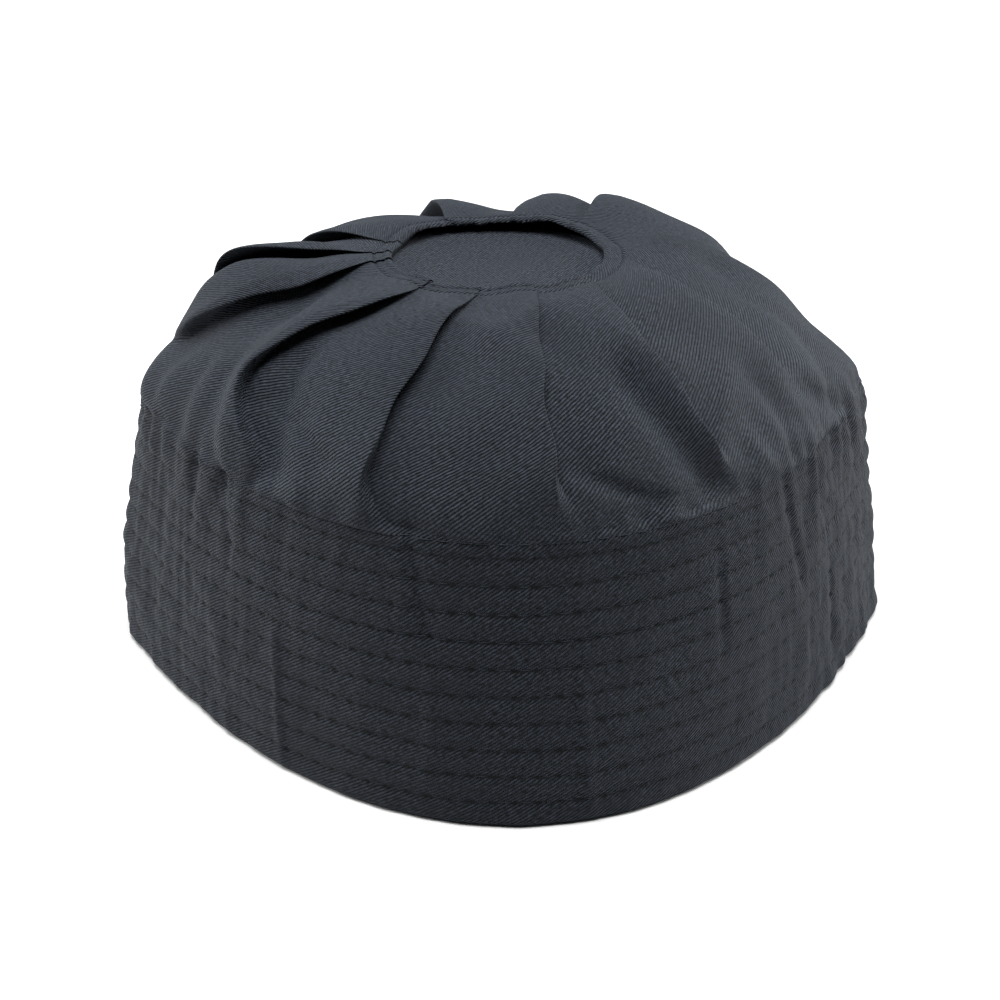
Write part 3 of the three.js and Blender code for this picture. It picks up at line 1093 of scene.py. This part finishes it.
def crown_columns(sizes, rise):
    """Angle and pleat relief of the crown's columns at each rise: for every pleat the folded
    cloth from its lip back under and out again, then the panel up to the next pleat."""
    lips, closing, lip, pocket = pleat_rows(rise)
    before = np.concatenate([lips[:, -1:] - 360, lips[:, :-1]], 1)
    turn = rise * np.pi / 2
    seam = sizes.hem_radius + sizes.hem_width
    inward = (np.cos(turn) ** (2 / sizes.dome_power))[:, None]
    radius = seam + (plan_radius(lips, sizes.ridge_height, sizes.ridge_height) - seam) * inward
    grown = smooth(rise, UNDERLAY_FROM, 1.0)[:, None]
    under = np.degrees(UNDERLAY * closing * grown / radius)
    under = np.minimum(under, (lips - before) * UNDERLAY_SHARE)
    soft = FOLD_TURN["shut"] + (1 - closing) * FOLD_TURN["open"]
    fold = np.linspace(0, 1, FOLD_COLUMNS)
    panel = np.linspace(0, 1, PANEL_COLUMNS + 2)[1:-1]
    drop = smooth(fold, *FOLD_DROP)
    angles, reliefs = [], []
    count = len(PLEATS)
    for k in range(count):
        after = (k + 1) % count
        wrap = 360 if after == 0 else 0
        u, q = under[:, k, None], soft[:, k, None]
        middle = lips[:, k, None] - u / 2
        angles.append(middle + u / 2 * np.sin(2 * np.pi * fold) + q * (fold - 0.5))
        reliefs.append(lip[:, k, None] * (1 - drop) - pocket[:, k, None] * drop)
        start = middle + q / 2
        end = lips[:, after, None] + wrap - under[:, after, None] / 2 - soft[:, after, None] / 2
        angles.append(start + (end - start) * panel)
        reliefs.append(lip[:, after, None] * panel**2 - pocket[:, k, None] * (1 - panel) ** 2)
    return np.concatenate(angles, 1), np.concatenate(reliefs, 1)


def crown_points(sizes):
    """Rows of points of the crown, from its tucked lower edge to its turned-in hem."""
    rise = np.linspace(0, 1, CROWN_ROWS)
    angle, relief = crown_columns(sizes, rise)
    up = rise[:, None]
    seat = (LAP - sizes.row_dip * RIDGE_DIP) * np.exp(-((up / FOOT_FADE) ** 2))
    lift = hem_lift(angle) * smooth(up, HEM_LIFT_FROM, 1.0)
    loose = unevenness(angle, up) * smooth(up, 0.0, FOOT_FADE)
    out = relief + loose + ridge_creases(angle, up) + seat + lift
    dome = dome_point(sizes, angle, up, out)
    tucked = []
    for row in [{"down": sizes.tuck / MM, "inset": TUCK_INSET}, *TUCK_BENDS]:
        wall = plan_radius(angle[0], sizes.ridge_height, sizes.ridge_height) - row["inset"] * MM
        wall = wall + ridge_creases(angle[0], 0.0)
        height = sizes.ridge_height - row["down"] * MM
        tucked.append(polar_points(sizes, wall, angle[0], height, 0))
    hem = []
    back = hem_lift(angle[-1]) / HEM_LIFT
    edge = np.radians(angle[-1])
    fray = sum(np.sin(row["waves"] * edge + row["start"]) for row in FRAY) * FRAY_OUT * back
    for row in [*({"share": share, "drop": 0.0} for share in HEM_STRIP), *HEM_TURN]:
        share = row["share"]
        radius = sizes.hem_radius + sizes.hem_width * share
        radius = radius + fray * (1 - smooth(share, 0.0, FRAY_REACH))
        height = hem_height(sizes, radius, angle[-1]) + out[-1] + hem_relief(share)
        height = height - row["drop"] * MM
        hem.append(polar_points(sizes, radius, angle[-1], height, 1))
    return np.concatenate([np.stack(tucked), dome, np.stack(hem)])


def crown_mesh(sizes):
    """The crown as a grid of faces, with the cloth's own measure as its map: along the strip
    from the middle of each panel, up from the ridge."""
    points = crown_points(sizes)
    rows, columns = points.shape[:2]
    index = np.arange(rows * columns).reshape(rows, columns)
    nexts = np.roll(index, -1, 1)
    quads = np.stack([index[:-1], nexts[:-1], nexts[1:], index[1:]], -1)
    ring = np.concatenate([points, points[:, :1]], 1)
    step = np.linalg.norm(np.diff(ring, axis=1), axis=2)
    climb = np.linalg.norm(np.diff(points, axis=0), axis=2)
    block = FOLD_COLUMNS + PANEL_COLUMNS
    along = np.zeros((rows, columns, 2))
    up = np.zeros((rows, columns, 2))
    first = FOLD_COLUMNS // 2
    at = 0.0
    for k in range(len(PLEATS)):
        own = (k * block + first + np.arange(block)) % columns
        run = np.concatenate([np.zeros((rows, 1)), np.cumsum(step[:, own], 1)], 1)
        middle = own[(FOLD_COLUMNS - first + PANEL_COLUMNS // 2) % block]
        centre = run[:, [FOLD_COLUMNS - first + PANEL_COLUMNS // 2]]
        half = centre[TUCK_COUNT, 0]
        rising = np.concatenate([[0.0], np.cumsum(climb[:, middle])])
        rising = rising - rising[TUCK_COUNT] + sizes.ridge_height
        along[:, own, 0] = (run - centre)[:, :-1] + at + half
        along[:, own, 1] = (run - centre)[:, 1:] + at + half
        up[:, own, :] = rising[:, None, None]
        at += run[TUCK_COUNT, -1]
    u = np.stack([along[:-1, :, 0], along[:-1, :, 1], along[1:, :, 1], along[1:, :, 0]], -1)
    v = np.stack([up[:-1, :, 0], up[:-1, :, 1], up[1:, :, 1], up[1:, :, 0]], -1)
    faces = quads.reshape(-1, 4).tolist()
    return cloth_mesh("crown", points.reshape(-1, 3), faces, np.stack([u, v], -1))


def cloth_mesh(name, points, faces, measure):
    """A smooth mesh with the cloth's own measure at every face corner as its map."""
    mesh = bpy.data.meshes.new(name)
    mesh.from_pydata(points.tolist(), [], faces)
    layer = mesh.uv_layers.new(name="Cloth")
    layer.uv.foreach_set("vector", measure.astype(np.float32).ravel())
    mesh.polygons.foreach_set("use_smooth", np.ones(len(faces), bool))
    mesh.update()
    return mesh


def hem_line(sizes, share):
    """A closed line on the crown's upper face along the hem, a share of its width out."""
    rise = np.ones(1)
    angle, relief = crown_columns(sizes, rise)
    block = FOLD_COLUMNS + PANEL_COLUMNS
    lips = pleat_rows(rise)[0][0]
    keep = []
    for k in range(len(PLEATS)):
        panel = k * block + FOLD_COLUMNS + np.arange(PANEL_COLUMNS)
        shown = panel[angle[0, panel] > lips[k] + LIP_COVER]
        fold = ((k + 1) % len(PLEATS)) * block + np.arange(FOLD_COLUMNS // 4)
        keep.extend([*shown, *fold])
    keep = np.array(keep)
    turn = angle[0, keep]
    out = relief[0, keep] + unevenness(turn, rise) + hem_lift(turn)
    radius = sizes.hem_radius + sizes.hem_width * share
    height = hem_height(sizes, radius, turn) + out + hem_relief(share)
    height = height + sizes.thread * STITCH["raised"]
    points = polar_points(sizes, radius, turn, height, 1)
    mesh = bpy.data.meshes.new("hem_line")
    ends = [(i, (i + 1) % len(points)) for i in range(len(points))]
    mesh.from_pydata(points.tolist(), ends, [])
    return mesh


# Operators


def put(piece, slot, material, *nodes):
    """Gives a finished piece its material and its place in the frame."""
    piece.data.materials.clear()
    piece.data.materials.append(material)
    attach(piece, "root")
    if nodes:
        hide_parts(*nodes)
    return piece


def girth(sizes):
    """Length of the wall round the cap half way up."""
    angle = np.linspace(0, 360, BAND_COLUMNS + 1)
    radius = plan_radius(angle, sizes.ridge_height / 2, sizes.ridge_height)
    points = np.stack([radius * np.cos(np.radians(angle)), radius * np.sin(np.radians(angle))], -1)
    return float(np.linalg.norm(np.diff(points, axis=0), axis=1).sum())


class CAP_OT_band(bpy.types.Operator):
    """Build the quilted band"""

    bl_idname = "cap.band"
    bl_label = "Band"

    def execute(self, context):
        sizes = context.scene.cap_sizes
        material = twill("band_twill", sizes, context.scene.cap_cloth, quilted=True)
        values = wall_values(sizes, material)
        values["Columns"] = BAND_COLUMNS
        values["Profile Rows"] = sum(BAND_ROWS.values()) + 1
        values["Wall"] = sizes.band_wall
        values["Girth"] = round(girth(sizes) / sizes.stitch) * sizes.stitch
        piece = node_object("band_cloth", band_tree(), values)
        put(piece, "band_twill", material, "band")
        girth(sizes)
        return {"FINISHED"}


class CAP_OT_crown(bpy.types.Operator):
    """Build the pleated crown"""

    bl_idname = "cap.crown"
    bl_label = "Crown"

    def execute(self, context):
        sizes = context.scene.cap_sizes
        material = twill("crown_twill", sizes, context.scene.cap_cloth)
        piece = mesh_object("crown_cloth", crown_mesh(sizes))
        put(piece, "crown_twill", material, "crown")
        return {"FINISHED"}


class CAP_OT_disc(bpy.types.Operator):
    """Build the disc that closes the crown"""

    bl_idname = "cap.disc"
    bl_label = "Disc"

    def execute(self, context):
        sizes = context.scene.cap_sizes
        cloth = context.scene.cap_cloth
        share = np.linspace(0, 1, DISC_RINGS)[1:, None]
        angle = np.linspace(0, 360, DISC_COLUMNS, endpoint=False)[None, :]
        radius = sizes.disc_radius * share
        turn = np.radians(angle)
        sag = -sizes.disc_sag * (1 - share**2)
        for row in DISC_WAVES:
            wave = row["size"] * np.sin(row["waves"] * turn + row["start"])
            sag = sag + DISC_WAVE * wave * share ** row["power"]
        height = hem_height(sizes, radius, angle) - sizes.disc_drop + sag
        points = polar_points(sizes, radius, angle, height, 1).reshape(-1, 3)
        middle = np.array([[*sizes.disc_centre, sizes.hem_height - sizes.disc_drop - sizes.disc_sag]])
        points = np.concatenate([middle, points])
        index = 1 + np.arange((DISC_RINGS - 1) * DISC_COLUMNS).reshape(-1, DISC_COLUMNS)
        nexts = np.roll(index, -1, 1)
        quads = np.stack([index[:-1], index[1:], nexts[1:], nexts[:-1]], -1).reshape(-1, 4)
        fan = np.stack([np.zeros(DISC_COLUMNS, int), index[0], nexts[0]], -1)
        corners = np.concatenate([quads.ravel(), fan.ravel()])
        grain = points[corners][:, :2] @ np.array(DISC_GRAIN)
        mesh = cloth_mesh("disc", points, quads.tolist() + fan.tolist(), grain)
        piece = mesh_object("disc_cloth", mesh)
        put(piece, "disc_twill", twill("disc_twill", sizes, cloth), "top_disc")
        return {"FINISHED"}


class CAP_OT_stitches(bpy.types.Operator):
    """Sew the rows of the band and the hem round the disc"""

    bl_idname = "cap.stitches"
    bl_label = "Stitches"

    def execute(self, context):
        sizes = context.scene.cap_sizes
        material = thread_material(context.scene.cap_cloth)
        values = wall_values(sizes, material)
        values["Stitches"] = round(girth(sizes) / sizes.stitch)
        values["Stitch"] = sizes.stitch
        values["Thread"] = sizes.thread
        put(node_object("row_stitches", row_stitch_tree(), values), "band_twill", material)
        tree = line_stitch_tree()
        for row in HEM_ROWS:
            values = {
                "Stitch": sizes.stitch * STITCH["hem_length"],
                "Thread": sizes.thread * row["thick"],
                "Material": material,
            }
            piece = node_object(row["name"], tree, values, hem_line(sizes, row["at"]))
            put(piece, "crown_twill", material)
        return {"FINISHED"}


class CAP_OT_stage(bpy.types.Operator):
    """Set the floor, the soft boxes and the camera"""

    bl_idname = "cap.stage"
    bl_label = "Stage"

    def execute(self, context):
        scene = context.scene
        mesh = bpy.data.meshes.new("floor")
        reach = FLOOR["reach"]
        corners = [(-reach, -reach, 0), (reach, -reach, 0), (reach, reach, 0), (-reach, reach, 0)]
        mesh.from_pydata(corners, [], [(0, 1, 2, 3)])
        floor = mesh_object("floor", mesh)
        material, _, shader = principled("floor")
        shader.inputs["Base Color"].default_value = (*[FLOOR["grey"]] * 3, 1.0)
        shader.inputs["Roughness"].default_value = FLOOR["roughness"]
        mesh.materials.append(material)
        world = bpy.data.worlds.new("studio")
        world.use_nodes = True
        background = world.node_tree.nodes["Background"]
        background.inputs["Color"].default_value = (1.0, 1.0, 1.0, 1.0)
        background.inputs["Strength"].default_value = WORLD_STRENGTH
        scene.world = world
        for row in LIGHTS:
            data = bpy.data.lights.new(row["name"], "AREA")
            data.shape = "RECTANGLE"
            data.size, data.size_y = row["wide"], row["tall"]
            data.energy = row["watts"]
            lamp = bpy.data.objects.new(row["name"], data)
            scene.collection.objects.link(lamp)
            lamp.location = row["at"]
            lamp.rotation_euler = look_along(np.array(AIM) - np.array(row["at"]))
        camera = bpy.data.objects.new("camera", bpy.data.cameras.new("camera"))
        scene.collection.objects.link(camera)
        camera.location = CAMERA["at"]
        tilt = math.radians(90 - CAMERA["down"])
        camera.rotation_euler = (tilt, 0.0, math.radians(CAMERA["round"]))
        camera.data.sensor_width = CAMERA_SENSOR
        camera.data.lens = CAMERA["lens"]
        camera.data.clip_start = CAMERA_NEAR
        scene.camera = camera
        scene.view_settings.view_transform = "Standard"
        return {"FINISHED"}


def look_along(direction):
    """Euler angles that point an object's -Z along a direction."""
    x, y, z = direction
    return (math.atan2(math.hypot(x, y), -z), 0.0, math.atan2(y, x) - math.pi / 2)


class CAP_PT_panel(bpy.types.Panel):
    """Sizes and steps of the cap"""

    bl_label = "Cap"
    bl_idname = "CAP_PT_panel"
    bl_space_type = "VIEW_3D"
    bl_region_type = "UI"
    bl_category = "Cap"

    def draw(self, context):
        for group in (context.scene.cap_sizes, context.scene.cap_cloth):
            for name in group.__annotations__:
                self.layout.prop(group, name)
        for step in STEPS:
            self.layout.operator(step.bl_idname)


STEPS = (CAP_OT_band, CAP_OT_crown, CAP_OT_disc, CAP_OT_stitches, CAP_OT_stage)
CLASSES = (CapSizes, CapCloth, *STEPS, CAP_PT_panel)


def register():
    for each in CLASSES:
        bpy.utils.register_class(each)
    bpy.types.Scene.cap_sizes = bpy.props.PointerProperty(type=CapSizes)
    bpy.types.Scene.cap_cloth = bpy.props.PointerProperty(type=CapCloth)


def unregister():
    del bpy.types.Scene.cap_cloth
    del bpy.types.Scene.cap_sizes
    for each in reversed(CLASSES):
        bpy.utils.unregister_class(each)


def main():
    register()
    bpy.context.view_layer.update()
    bpy.ops.cap.band()
    bpy.ops.cap.crown()
    bpy.ops.cap.disc()
    bpy.ops.cap.stitches()
    bpy.ops.cap.stage()


if __name__ == "__main__":
    main()
